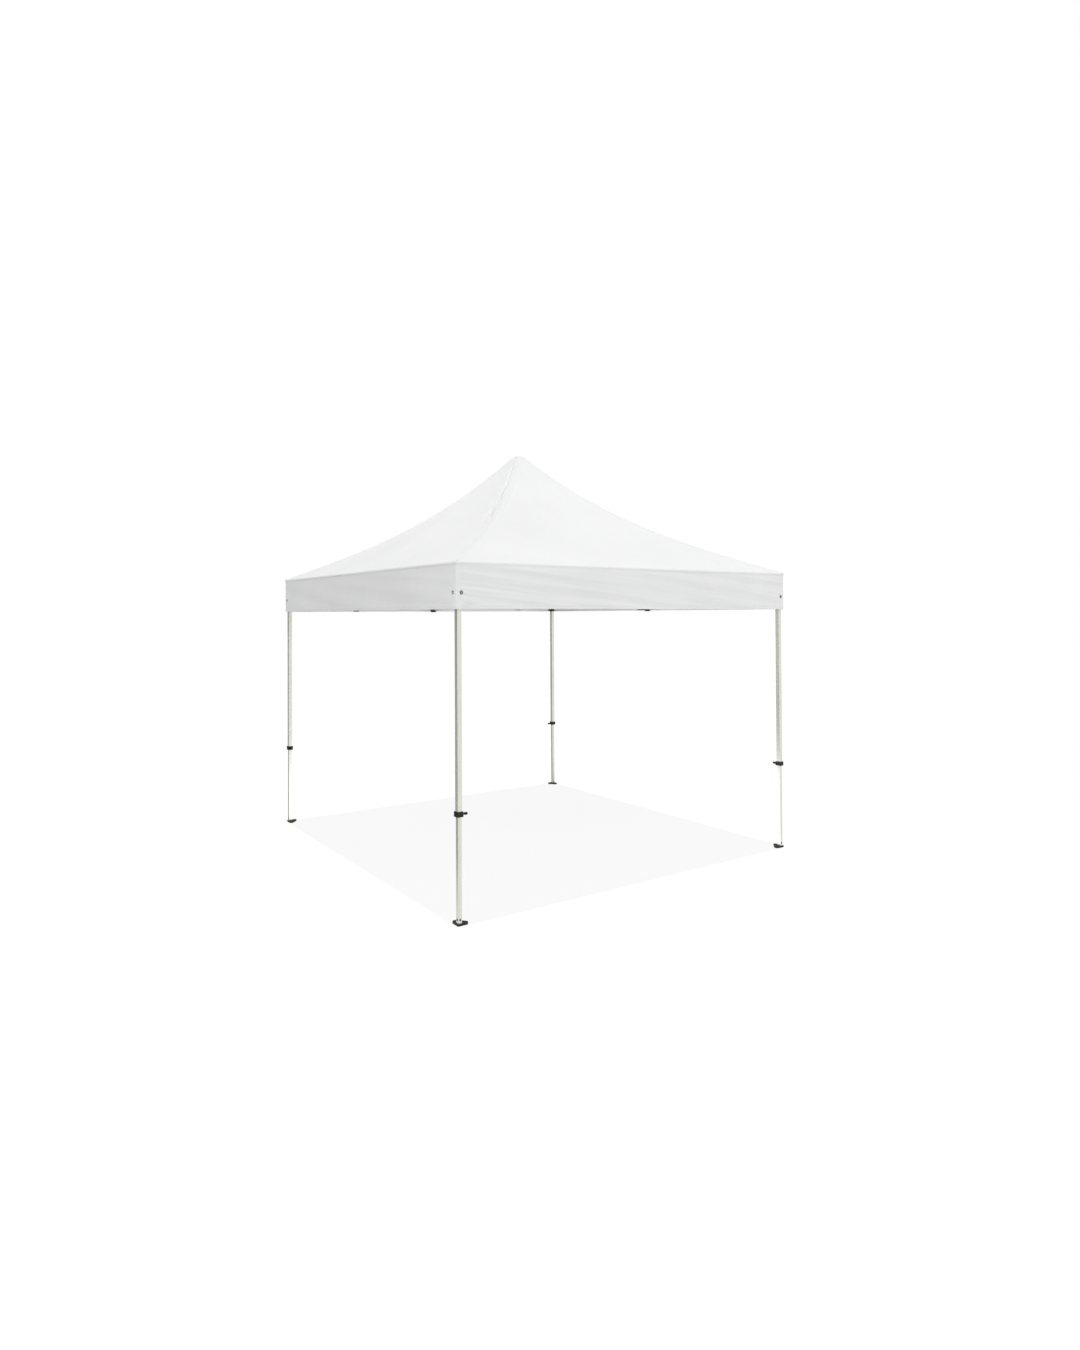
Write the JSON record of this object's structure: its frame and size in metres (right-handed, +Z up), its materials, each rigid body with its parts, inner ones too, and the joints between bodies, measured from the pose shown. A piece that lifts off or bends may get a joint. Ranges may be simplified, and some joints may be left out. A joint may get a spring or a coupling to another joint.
{
  "type": "pop up canopy",
  "caption": "Pop up canopy with a square peaked roof and straight valance on a folding scissor frame with four telescopic legs",
  "frame": {"origin": "on the ground under the middle of the roof", "axes": "+Z up, +X to the right and +Y to the back, both along the roof's sides"},
  "size_m": [3, 3, 3.165],
  "materials": {
    "canopy_fabric": "matte coated woven polyester",
    "white_steel": "satin powder coat",
    "white_leg_upper": "satin powder coat",
    "white_leg_lower": "satin powder coat",
    "peak_pole_aluminium": "brushed tube with a plastic cap",
    "light_hub_plastic": "moulded nylon with a fine grain",
    "black_plastic": "moulded nylon with a fine grain",
    "black_foot": "moulded nylon, scuffed underneath",
    "black_knob": "smooth moulded nylon"
  },
  "bodies": {
    "canopy_and_top_hub": {"centre_top_hub": "light_hub_plastic", "canopy": "canopy_fabric"},
    "bottom_hub": {"centre_bottom_hub": "light_hub_plastic"},
    "peak_pole": {"peak_pole": "peak_pole_aluminium"},
    "front_centre_bar_from_top_hub": {"front_centre_bar_from_top_hub": "light_hub_plastic"},
    "front_centre_bar_from_bottom_hub": {"front_centre_bar_from_bottom_hub": "light_hub_plastic"},
    "front_mid_lower_bracket": {"front_mid_lower_bracket": "black_plastic"},
    "front_mid_upper_bracket": {"front_mid_upper_bracket": "black_plastic"},
    "front_outer_bar_to_front_left_leg": {"front_outer_bar_to_front_left_leg": "white_steel"},
    "front_inner_bar_to_front_left_leg": {"front_inner_bar_to_front_left_leg": "white_steel"},
    "front_outer_bar_to_front_right_leg": {"front_outer_bar_to_front_right_leg": "white_steel"},
    "front_inner_bar_to_front_right_leg": {"front_inner_bar_to_front_right_leg": "white_steel"},
    "front_left_upper_leg": {"front_left_outer_leg": "white_leg_upper"},
    "front_left_lower_leg": {"front_left_inner_leg": "white_leg_lower", "front_left_foot": "black_foot"},
    "front_left_slider": {"front_left_slider": "black_plastic"},
    "front_left_slider_pull_pin": {"front_left_slider_pull_pin": "black_knob"},
    "front_left_leg_lock_pin": {"front_left_leg_lock_pin": "black_knob"},
    "right_centre_bar_from_top_hub": {"right_centre_bar_from_top_hub": "light_hub_plastic"},
    "right_centre_bar_from_bottom_hub": {"right_centre_bar_from_bottom_hub": "light_hub_plastic"},
    "right_mid_lower_bracket": {"right_mid_lower_bracket": "black_plastic"},
    "right_mid_upper_bracket": {"right_mid_upper_bracket": "black_plastic"},
    "right_outer_bar_to_front_right_leg": {"right_outer_bar_to_front_right_leg": "white_steel"},
    "right_inner_bar_to_front_right_leg": {"right_inner_bar_to_front_right_leg": "white_steel"},
    "right_outer_bar_to_back_right_leg": {"right_outer_bar_to_back_right_leg": "white_steel"},
    "right_inner_bar_to_back_right_leg": {"right_inner_bar_to_back_right_leg": "white_steel"},
    "front_right_upper_leg": {"front_right_outer_leg": "white_leg_upper"},
    "front_right_lower_leg": {"front_right_inner_leg": "white_leg_lower", "front_right_foot": "black_foot"},
    "front_right_slider": {"front_right_slider": "black_plastic"},
    "front_right_slider_pull_pin": {"front_right_slider_pull_pin": "black_knob"},
    "front_right_leg_lock_pin": {"front_right_leg_lock_pin": "black_knob"},
    "back_centre_bar_from_top_hub": {"back_centre_bar_from_top_hub": "light_hub_plastic"},
    "back_centre_bar_from_bottom_hub": {"back_centre_bar_from_bottom_hub": "light_hub_plastic"},
    "back_mid_lower_bracket": {"back_mid_lower_bracket": "black_plastic"},
    "back_mid_upper_bracket": {"back_mid_upper_bracket": "black_plastic"},
    "back_outer_bar_to_back_right_leg": {"back_outer_bar_to_back_right_leg": "white_steel"},
    "back_inner_bar_to_back_right_leg": {"back_inner_bar_to_back_right_leg": "white_steel"},
    "back_outer_bar_to_back_left_leg": {"back_outer_bar_to_back_left_leg": "white_steel"},
    "back_inner_bar_to_back_left_leg": {"back_inner_bar_to_back_left_leg": "white_steel"},
    "back_right_upper_leg": {"back_right_outer_leg": "white_leg_upper"},
    "back_right_lower_leg": {"back_right_inner_leg": "white_leg_lower", "back_right_foot": "black_foot"},
    "back_right_slider": {"back_right_slider": "black_plastic"},
    "back_right_slider_pull_pin": {"back_right_slider_pull_pin": "black_knob"},
    "back_right_leg_lock_pin": {"back_right_leg_lock_pin": "black_knob"},
    "left_centre_bar_from_top_hub": {"left_centre_bar_from_top_hub": "light_hub_plastic"},
    "left_centre_bar_from_bottom_hub": {"left_centre_bar_from_bottom_hub": "light_hub_plastic"},
    "left_mid_lower_bracket": {"left_mid_lower_bracket": "black_plastic"},
    "left_mid_upper_bracket": {"left_mid_upper_bracket": "black_plastic"},
    "left_outer_bar_to_back_left_leg": {"left_outer_bar_to_back_left_leg": "white_steel"},
    "left_inner_bar_to_back_left_leg": {"left_inner_bar_to_back_left_leg": "white_steel"},
    "left_outer_bar_to_front_left_leg": {"left_outer_bar_to_front_left_leg": "white_steel"},
    "left_inner_bar_to_front_left_leg": {"left_inner_bar_to_front_left_leg": "white_steel"},
    "back_left_upper_leg": {"back_left_outer_leg": "white_leg_upper"},
    "back_left_lower_leg": {"back_left_inner_leg": "white_leg_lower", "back_left_foot": "black_foot"},
    "back_left_slider": {"back_left_slider": "black_plastic"},
    "back_left_slider_pull_pin": {"back_left_slider_pull_pin": "black_knob"},
    "back_left_leg_lock_pin": {"back_left_leg_lock_pin": "black_knob"}
  },
  "joints": [
    {"name": "frame_fold", "type": "hinge", "parent": "canopy_and_top_hub", "child": "front_centre_bar_from_top_hub", "pos_m": [0.006, -0.03, 2.13], "axis": [1, 0, 0], "range_deg": [0, 78.5]},
    {"name": "front_mid_lower_pivot", "type": "hinge", "parent": "front_centre_bar_from_top_hub", "child": "front_mid_lower_bracket", "pos_m": [0.006, -1.438, 1.885], "axis": [1, 0, 0], "range_deg": [-78.7, 0.2]},
    {"name": "front_centre_scissor", "type": "hinge", "parent": "front_centre_bar_from_top_hub", "child": "front_centre_bar_from_bottom_hub", "pos_m": [0, -0.734, 2.0075], "axis": [1, 0, 0], "range_deg": [-157.2, 0.2]},
    {"name": "front_mid_upper_pivot", "type": "hinge", "parent": "front_centre_bar_from_bottom_hub", "child": "front_mid_upper_bracket", "pos_m": [-0.006, -1.438, 2.13], "axis": [1, 0, 0], "range_deg": [-0.2, 78.7]},
    {"name": "bottom_hub_pivot", "type": "hinge", "parent": "front_centre_bar_from_bottom_hub", "child": "bottom_hub", "pos_m": [-0.006, -0.03, 1.885], "axis": [1, 0, 0], "range_deg": [-0.2, 78.7]},
    {"name": "front_outer_bar_to_front_left_pivot", "type": "hinge", "parent": "front_mid_lower_bracket", "child": "front_outer_bar_to_front_left_leg", "pos_m": [-0.02, -1.476, 1.885], "axis": [0, 1, 0], "range_deg": [-0.2, 78.7]},
    {"name": "front_front_left_scissor", "type": "hinge", "parent": "front_outer_bar_to_front_left_leg", "child": "front_inner_bar_to_front_left_leg", "pos_m": [-0.724, -1.47, 2.0075], "axis": [0, 1, 0], "range_deg": [-157.2, 0.2]},
    {"name": "front_outer_bar_to_front_right_pivot", "type": "hinge", "parent": "front_mid_lower_bracket", "child": "front_outer_bar_to_front_right_leg", "pos_m": [0.02, -1.476, 1.885], "axis": [0, 1, 0], "range_deg": [-78.7, 0.2]},
    {"name": "front_front_right_scissor", "type": "hinge", "parent": "front_outer_bar_to_front_right_leg", "child": "front_inner_bar_to_front_right_leg", "pos_m": [0.724, -1.47, 2.0075], "axis": [0, 1, 0], "range_deg": [-0.2, 157.2]},
    {"name": "front_left_leg_pivot", "type": "hinge", "parent": "front_outer_bar_to_front_left_leg", "child": "front_left_upper_leg", "pos_m": [-1.428, -1.476, 2.13], "axis": [0, 1, 0], "range_deg": [-78.7, 0.2]},
    {"name": "front_left_slider_pivot", "type": "hinge", "parent": "front_inner_bar_to_front_left_leg", "child": "front_left_slider", "pos_m": [-1.428, -1.464, 1.885], "axis": [0, 1, 0], "range_deg": [-0.2, 78.7]},
    {"name": "front_left_leg_height", "type": "slide", "parent": "front_left_upper_leg", "child": "front_left_lower_leg", "axis": [0, 0, 1], "range_m": [-0.1, 0.55]},
    {"name": "front_left_leg_lock_pull", "type": "slide", "parent": "front_left_upper_leg", "child": "front_left_leg_lock_pin", "axis": [1, 0, 0], "range_m": [0, 0.008], "stiffness_N_per_m": 500},
    {"name": "front_left_slider_pin_pull", "type": "slide", "parent": "front_left_slider", "child": "front_left_slider_pull_pin", "axis": [1, 0, 0], "range_m": [0, 0.008], "stiffness_N_per_m": 400},
    {"name": "right_centre_fold", "type": "hinge", "parent": "canopy_and_top_hub", "child": "right_centre_bar_from_top_hub", "pos_m": [0.03, 0.006, 2.13], "axis": [0, 1, 0], "range_deg": [-0.2, 78.7]},
    {"name": "right_mid_lower_pivot", "type": "hinge", "parent": "right_centre_bar_from_top_hub", "child": "right_mid_lower_bracket", "pos_m": [1.438, 0.006, 1.885], "axis": [0, 1, 0], "range_deg": [-78.7, 0.2]},
    {"name": "right_centre_scissor", "type": "hinge", "parent": "right_centre_bar_from_top_hub", "child": "right_centre_bar_from_bottom_hub", "pos_m": [0.734, 0, 2.0075], "axis": [0, 1, 0], "range_deg": [-157.2, 0.2]},
    {"name": "right_mid_upper_pivot", "type": "hinge", "parent": "right_centre_bar_from_bottom_hub", "child": "right_mid_upper_bracket", "pos_m": [1.438, -0.006, 2.13], "axis": [0, 1, 0], "range_deg": [-0.2, 78.7]},
    {"name": "right_outer_bar_to_front_right_pivot", "type": "hinge", "parent": "right_mid_lower_bracket", "child": "right_outer_bar_to_front_right_leg", "pos_m": [1.476, -0.02, 1.885], "axis": [-1, 0, 0], "range_deg": [-0.2, 78.7]},
    {"name": "right_front_right_scissor", "type": "hinge", "parent": "right_outer_bar_to_front_right_leg", "child": "right_inner_bar_to_front_right_leg", "pos_m": [1.47, -0.724, 2.0075], "axis": [-1, 0, 0], "range_deg": [-157.2, 0.2]},
    {"name": "right_outer_bar_to_back_right_pivot", "type": "hinge", "parent": "right_mid_lower_bracket", "child": "right_outer_bar_to_back_right_leg", "pos_m": [1.476, 0.02, 1.885], "axis": [-1, 0, 0], "range_deg": [-78.7, 0.2]},
    {"name": "right_back_right_scissor", "type": "hinge", "parent": "right_outer_bar_to_back_right_leg", "child": "right_inner_bar_to_back_right_leg", "pos_m": [1.47, 0.724, 2.0075], "axis": [-1, 0, 0], "range_deg": [-0.2, 157.2]},
    {"name": "front_right_leg_pivot", "type": "hinge", "parent": "right_outer_bar_to_front_right_leg", "child": "front_right_upper_leg", "pos_m": [1.476, -1.428, 2.13], "axis": [-1, 0, 0], "range_deg": [-78.7, 0.2]},
    {"name": "front_right_slider_pivot", "type": "hinge", "parent": "right_inner_bar_to_front_right_leg", "child": "front_right_slider", "pos_m": [1.464, -1.428, 1.885], "axis": [-1, 0, 0], "range_deg": [-0.2, 78.7]},
    {"name": "front_right_leg_height", "type": "slide", "parent": "front_right_upper_leg", "child": "front_right_lower_leg", "axis": [0, 0, 1], "range_m": [-0.1, 0.55]},
    {"name": "front_right_leg_lock_pull", "type": "slide", "parent": "front_right_upper_leg", "child": "front_right_leg_lock_pin", "axis": [0, 1, 0], "range_m": [0, 0.008], "stiffness_N_per_m": 500},
    {"name": "front_right_slider_pin_pull", "type": "slide", "parent": "front_right_slider", "child": "front_right_slider_pull_pin", "axis": [0, 1, 0], "range_m": [0, 0.008], "stiffness_N_per_m": 400},
    {"name": "back_centre_fold", "type": "hinge", "parent": "canopy_and_top_hub", "child": "back_centre_bar_from_top_hub", "pos_m": [-0.006, 0.03, 2.13], "axis": [-1, 0, 0], "range_deg": [-0.2, 78.7]},
    {"name": "back_mid_lower_pivot", "type": "hinge", "parent": "back_centre_bar_from_top_hub", "child": "back_mid_lower_bracket", "pos_m": [-0.006, 1.438, 1.885], "axis": [-1, 0, 0], "range_deg": [-78.7, 0.2]},
    {"name": "back_centre_scissor", "type": "hinge", "parent": "back_centre_bar_from_top_hub", "child": "back_centre_bar_from_bottom_hub", "pos_m": [0, 0.734, 2.0075], "axis": [-1, 0, 0], "range_deg": [-157.2, 0.2]},
    {"name": "back_mid_upper_pivot", "type": "hinge", "parent": "back_centre_bar_from_bottom_hub", "child": "back_mid_upper_bracket", "pos_m": [0.006, 1.438, 2.13], "axis": [-1, 0, 0], "range_deg": [-0.2, 78.7]},
    {"name": "back_outer_bar_to_back_right_pivot", "type": "hinge", "parent": "back_mid_lower_bracket", "child": "back_outer_bar_to_back_right_leg", "pos_m": [0.02, 1.476, 1.885], "axis": [0, -1, 0], "range_deg": [-0.2, 78.7]},
    {"name": "back_back_right_scissor", "type": "hinge", "parent": "back_outer_bar_to_back_right_leg", "child": "back_inner_bar_to_back_right_leg", "pos_m": [0.724, 1.47, 2.0075], "axis": [0, -1, 0], "range_deg": [-157.2, 0.2]},
    {"name": "back_outer_bar_to_back_left_pivot", "type": "hinge", "parent": "back_mid_lower_bracket", "child": "back_outer_bar_to_back_left_leg", "pos_m": [-0.02, 1.476, 1.885], "axis": [0, -1, 0], "range_deg": [-78.7, 0.2]},
    {"name": "back_back_left_scissor", "type": "hinge", "parent": "back_outer_bar_to_back_left_leg", "child": "back_inner_bar_to_back_left_leg", "pos_m": [-0.724, 1.47, 2.0075], "axis": [0, -1, 0], "range_deg": [-0.2, 157.2]},
    {"name": "back_right_leg_pivot", "type": "hinge", "parent": "back_outer_bar_to_back_right_leg", "child": "back_right_upper_leg", "pos_m": [1.428, 1.476, 2.13], "axis": [0, -1, 0], "range_deg": [-78.7, 0.2]},
    {"name": "back_right_slider_pivot", "type": "hinge", "parent": "back_inner_bar_to_back_right_leg", "child": "back_right_slider", "pos_m": [1.428, 1.464, 1.885], "axis": [0, -1, 0], "range_deg": [-0.2, 78.7]},
    {"name": "back_right_leg_height", "type": "slide", "parent": "back_right_upper_leg", "child": "back_right_lower_leg", "axis": [0, 0, 1], "range_m": [-0.1, 0.55]},
    {"name": "back_right_leg_lock_pull", "type": "slide", "parent": "back_right_upper_leg", "child": "back_right_leg_lock_pin", "axis": [-1, 0, 0], "range_m": [0, 0.008], "stiffness_N_per_m": 500},
    {"name": "back_right_slider_pin_pull", "type": "slide", "parent": "back_right_slider", "child": "back_right_slider_pull_pin", "axis": [-1, 0, 0], "range_m": [0, 0.008], "stiffness_N_per_m": 400},
    {"name": "left_centre_fold", "type": "hinge", "parent": "canopy_and_top_hub", "child": "left_centre_bar_from_top_hub", "pos_m": [-0.03, -0.006, 2.13], "axis": [0, -1, 0], "range_deg": [-0.2, 78.7]},
    {"name": "left_mid_lower_pivot", "type": "hinge", "parent": "left_centre_bar_from_top_hub", "child": "left_mid_lower_bracket", "pos_m": [-1.438, -0.006, 1.885], "axis": [0, -1, 0], "range_deg": [-78.7, 0.2]},
    {"name": "left_centre_scissor", "type": "hinge", "parent": "left_centre_bar_from_top_hub", "child": "left_centre_bar_from_bottom_hub", "pos_m": [-0.734, 0, 2.0075], "axis": [0, -1, 0], "range_deg": [-157.2, 0.2]},
    {"name": "left_mid_upper_pivot", "type": "hinge", "parent": "left_centre_bar_from_bottom_hub", "child": "left_mid_upper_bracket", "pos_m": [-1.438, 0.006, 2.13], "axis": [0, -1, 0], "range_deg": [-0.2, 78.7]},
    {"name": "left_outer_bar_to_back_left_pivot", "type": "hinge", "parent": "left_mid_lower_bracket", "child": "left_outer_bar_to_back_left_leg", "pos_m": [-1.476, 0.02, 1.885], "axis": [1, 0, 0], "range_deg": [-0.2, 78.7]},
    {"name": "left_back_left_scissor", "type": "hinge", "parent": "left_outer_bar_to_back_left_leg", "child": "left_inner_bar_to_back_left_leg", "pos_m": [-1.47, 0.724, 2.0075], "axis": [1, 0, 0], "range_deg": [-157.2, 0.2]},
    {"name": "left_outer_bar_to_front_left_pivot", "type": "hinge", "parent": "left_mid_lower_bracket", "child": "left_outer_bar_to_front_left_leg", "pos_m": [-1.476, -0.02, 1.885], "axis": [1, 0, 0], "range_deg": [-78.7, 0.2]},
    {"name": "left_front_left_scissor", "type": "hinge", "parent": "left_outer_bar_to_front_left_leg", "child": "left_inner_bar_to_front_left_leg", "pos_m": [-1.47, -0.724, 2.0075], "axis": [1, 0, 0], "range_deg": [-0.2, 157.2]},
    {"name": "back_left_leg_pivot", "type": "hinge", "parent": "left_outer_bar_to_back_left_leg", "child": "back_left_upper_leg", "pos_m": [-1.476, 1.428, 2.13], "axis": [1, 0, 0], "range_deg": [-78.7, 0.2]},
    {"name": "back_left_slider_pivot", "type": "hinge", "parent": "left_inner_bar_to_back_left_leg", "child": "back_left_slider", "pos_m": [-1.464, 1.428, 1.885], "axis": [1, 0, 0], "range_deg": [-0.2, 78.7]},
    {"name": "back_left_leg_height", "type": "slide", "parent": "back_left_upper_leg", "child": "back_left_lower_leg", "axis": [0, 0, 1], "range_m": [-0.1, 0.55]},
    {"name": "back_left_leg_lock_pull", "type": "slide", "parent": "back_left_upper_leg", "child": "back_left_leg_lock_pin", "axis": [0, -1, 0], "range_m": [0, 0.008], "stiffness_N_per_m": 500},
    {"name": "back_left_slider_pin_pull", "type": "slide", "parent": "back_left_slider", "child": "back_left_slider_pull_pin", "axis": [0, -1, 0], "range_m": [0, 0.008], "stiffness_N_per_m": 400},
    {"name": "peak_pole_drop", "type": "slide", "parent": "canopy_and_top_hub", "child": "peak_pole", "axis": [0, 0, -1], "range_m": [-0.001, 0.951]}
  ],
  "couplings": [
    {"joint": "front_mid_lower_pivot", "follows": "frame_fold", "ratio": -1},
    {"joint": "front_centre_scissor", "follows": "frame_fold", "ratio": -2},
    {"joint": "front_mid_upper_pivot", "follows": "frame_fold", "ratio": 1},
    {"joint": "bottom_hub_pivot", "follows": "frame_fold", "ratio": 1},
    {"joint": "front_outer_bar_to_front_left_pivot", "follows": "frame_fold", "ratio": 1},
    {"joint": "front_front_left_scissor", "follows": "frame_fold", "ratio": -2},
    {"joint": "front_outer_bar_to_front_right_pivot", "follows": "frame_fold", "ratio": -1},
    {"joint": "front_front_right_scissor", "follows": "frame_fold", "ratio": 2},
    {"joint": "front_left_leg_pivot", "follows": "frame_fold", "ratio": -1},
    {"joint": "front_left_slider_pivot", "follows": "frame_fold", "ratio": 1},
    {"joint": "right_centre_fold", "follows": "frame_fold", "ratio": 1},
    {"joint": "right_mid_lower_pivot", "follows": "frame_fold", "ratio": -1},
    {"joint": "right_centre_scissor", "follows": "frame_fold", "ratio": -2},
    {"joint": "right_mid_upper_pivot", "follows": "frame_fold", "ratio": 1},
    {"joint": "right_outer_bar_to_front_right_pivot", "follows": "frame_fold", "ratio": 1},
    {"joint": "right_front_right_scissor", "follows": "frame_fold", "ratio": -2},
    {"joint": "right_outer_bar_to_back_right_pivot", "follows": "frame_fold", "ratio": -1},
    {"joint": "right_back_right_scissor", "follows": "frame_fold", "ratio": 2},
    {"joint": "front_right_leg_pivot", "follows": "frame_fold", "ratio": -1},
    {"joint": "front_right_slider_pivot", "follows": "frame_fold", "ratio": 1},
    {"joint": "back_centre_fold", "follows": "frame_fold", "ratio": 1},
    {"joint": "back_mid_lower_pivot", "follows": "frame_fold", "ratio": -1},
    {"joint": "back_centre_scissor", "follows": "frame_fold", "ratio": -2},
    {"joint": "back_mid_upper_pivot", "follows": "frame_fold", "ratio": 1},
    {"joint": "back_outer_bar_to_back_right_pivot", "follows": "frame_fold", "ratio": 1},
    {"joint": "back_back_right_scissor", "follows": "frame_fold", "ratio": -2},
    {"joint": "back_outer_bar_to_back_left_pivot", "follows": "frame_fold", "ratio": -1},
    {"joint": "back_back_left_scissor", "follows": "frame_fold", "ratio": 2},
    {"joint": "back_right_leg_pivot", "follows": "frame_fold", "ratio": -1},
    {"joint": "back_right_slider_pivot", "follows": "frame_fold", "ratio": 1},
    {"joint": "left_centre_fold", "follows": "frame_fold", "ratio": 1},
    {"joint": "left_mid_lower_pivot", "follows": "frame_fold", "ratio": -1},
    {"joint": "left_centre_scissor", "follows": "frame_fold", "ratio": -2},
    {"joint": "left_mid_upper_pivot", "follows": "frame_fold", "ratio": 1},
    {"joint": "left_outer_bar_to_back_left_pivot", "follows": "frame_fold", "ratio": 1},
    {"joint": "left_back_left_scissor", "follows": "frame_fold", "ratio": -2},
    {"joint": "left_outer_bar_to_front_left_pivot", "follows": "frame_fold", "ratio": -1},
    {"joint": "left_front_left_scissor", "follows": "frame_fold", "ratio": 2},
    {"joint": "back_left_leg_pivot", "follows": "frame_fold", "ratio": -1},
    {"joint": "back_left_slider_pivot", "follows": "frame_fold", "ratio": 1},
    {"joint": "peak_pole_drop", "follows": "frame_fold", "m_per_rad": 0.69266}
  ]
}
